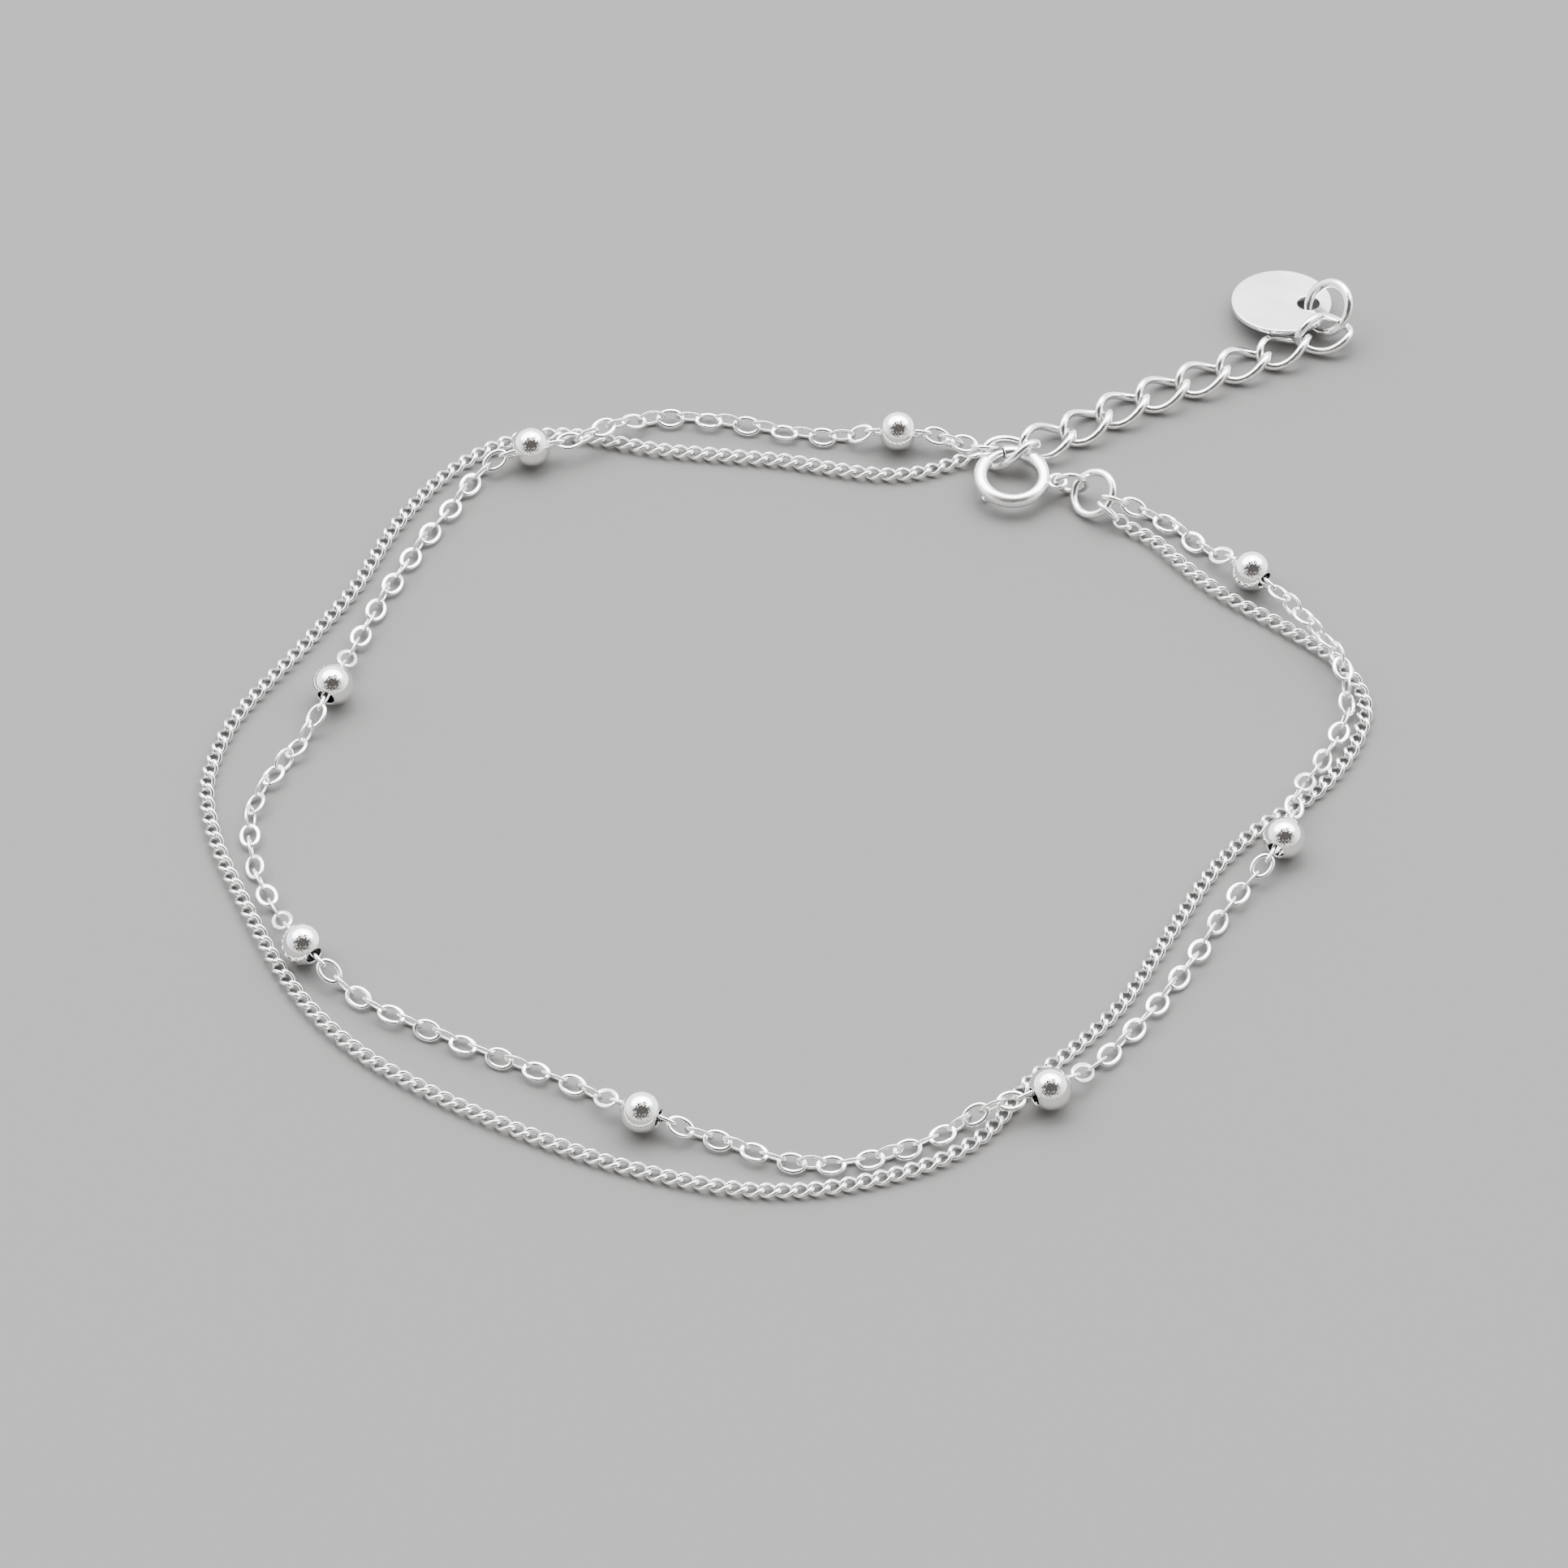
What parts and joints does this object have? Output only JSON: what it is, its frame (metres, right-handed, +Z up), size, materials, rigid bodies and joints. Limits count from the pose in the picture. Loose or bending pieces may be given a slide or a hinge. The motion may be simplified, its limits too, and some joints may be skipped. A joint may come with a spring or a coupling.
{
  "type": "anklet",
  "caption": "Fine silver anklet of two chains, one of them with round beads, joined by a ring clasp with an extender chain and a plain round tag.",
  "frame": {"origin": "below the middle of the anklet's box, on the surface that it lies on", "axes": "+Z up from the surface, +Y towards the clasp and extender, +X towards the tag's side"},
  "size_m": [0.0847, 0.0856, 0.0037],
  "materials": {
    "curb_chain_silver": "bare silver wire, softly polished",
    "bead_chain_silver": "bare silver wire, softly polished",
    "bead_silver": "mirror polished silver",
    "end_link_silver": "polished silver wire",
    "extender_silver": "polished silver wire with fine wear",
    "clasp_silver": "polished silver tube with fine wear",
    "ring_silver": "polished silver wire with fine wear",
    "tag_silver": "polished flat silver sheet with faint scratches"
  },
  "bodies": {
    "anklet": {"curb_chain": "curb_chain_silver", "bead_chain": "bead_chain_silver", "bead_1": "bead_silver", "bead_2": "bead_silver", "bead_3": "bead_silver", "bead_4": "bead_silver", "bead_5": "bead_silver", "bead_6": "bead_silver", "bead_7": "bead_silver", "bead_8": "bead_silver", "strand_end_left_1": "end_link_silver", "strand_end_left_2": "end_link_silver", "strand_end_right_1": "end_link_silver", "strand_end_right_2": "end_link_silver", "extender_link_1": "extender_silver", "extender_link_2": "extender_silver", "extender_link_3": "extender_silver", "extender_link_4": "extender_silver", "extender_link_5": "extender_silver", "extender_link_6": "extender_silver", "extender_link_7": "extender_silver", "extender_link_8": "extender_silver", "extender_link_9": "extender_silver", "clasp_ring": "clasp_silver", "clasp_eye_ring": "ring_silver", "jump_ring": "ring_silver", "tag_ring": "ring_silver", "tag_disc": "tag_silver"},
    "tongue": {"clasp_tongue": "clasp_silver"}
  },
  "joints": [
    {"name": "clasp_opening", "type": "hinge", "parent": "anklet", "child": "tongue", "pos_m": [0.01619, 0.02123, 0.00132], "axis": [0.0023, -0.0261, 0.9997], "range_deg": [0, 38.5], "stiffness_Nm_per_rad": 0.004}
  ]
}
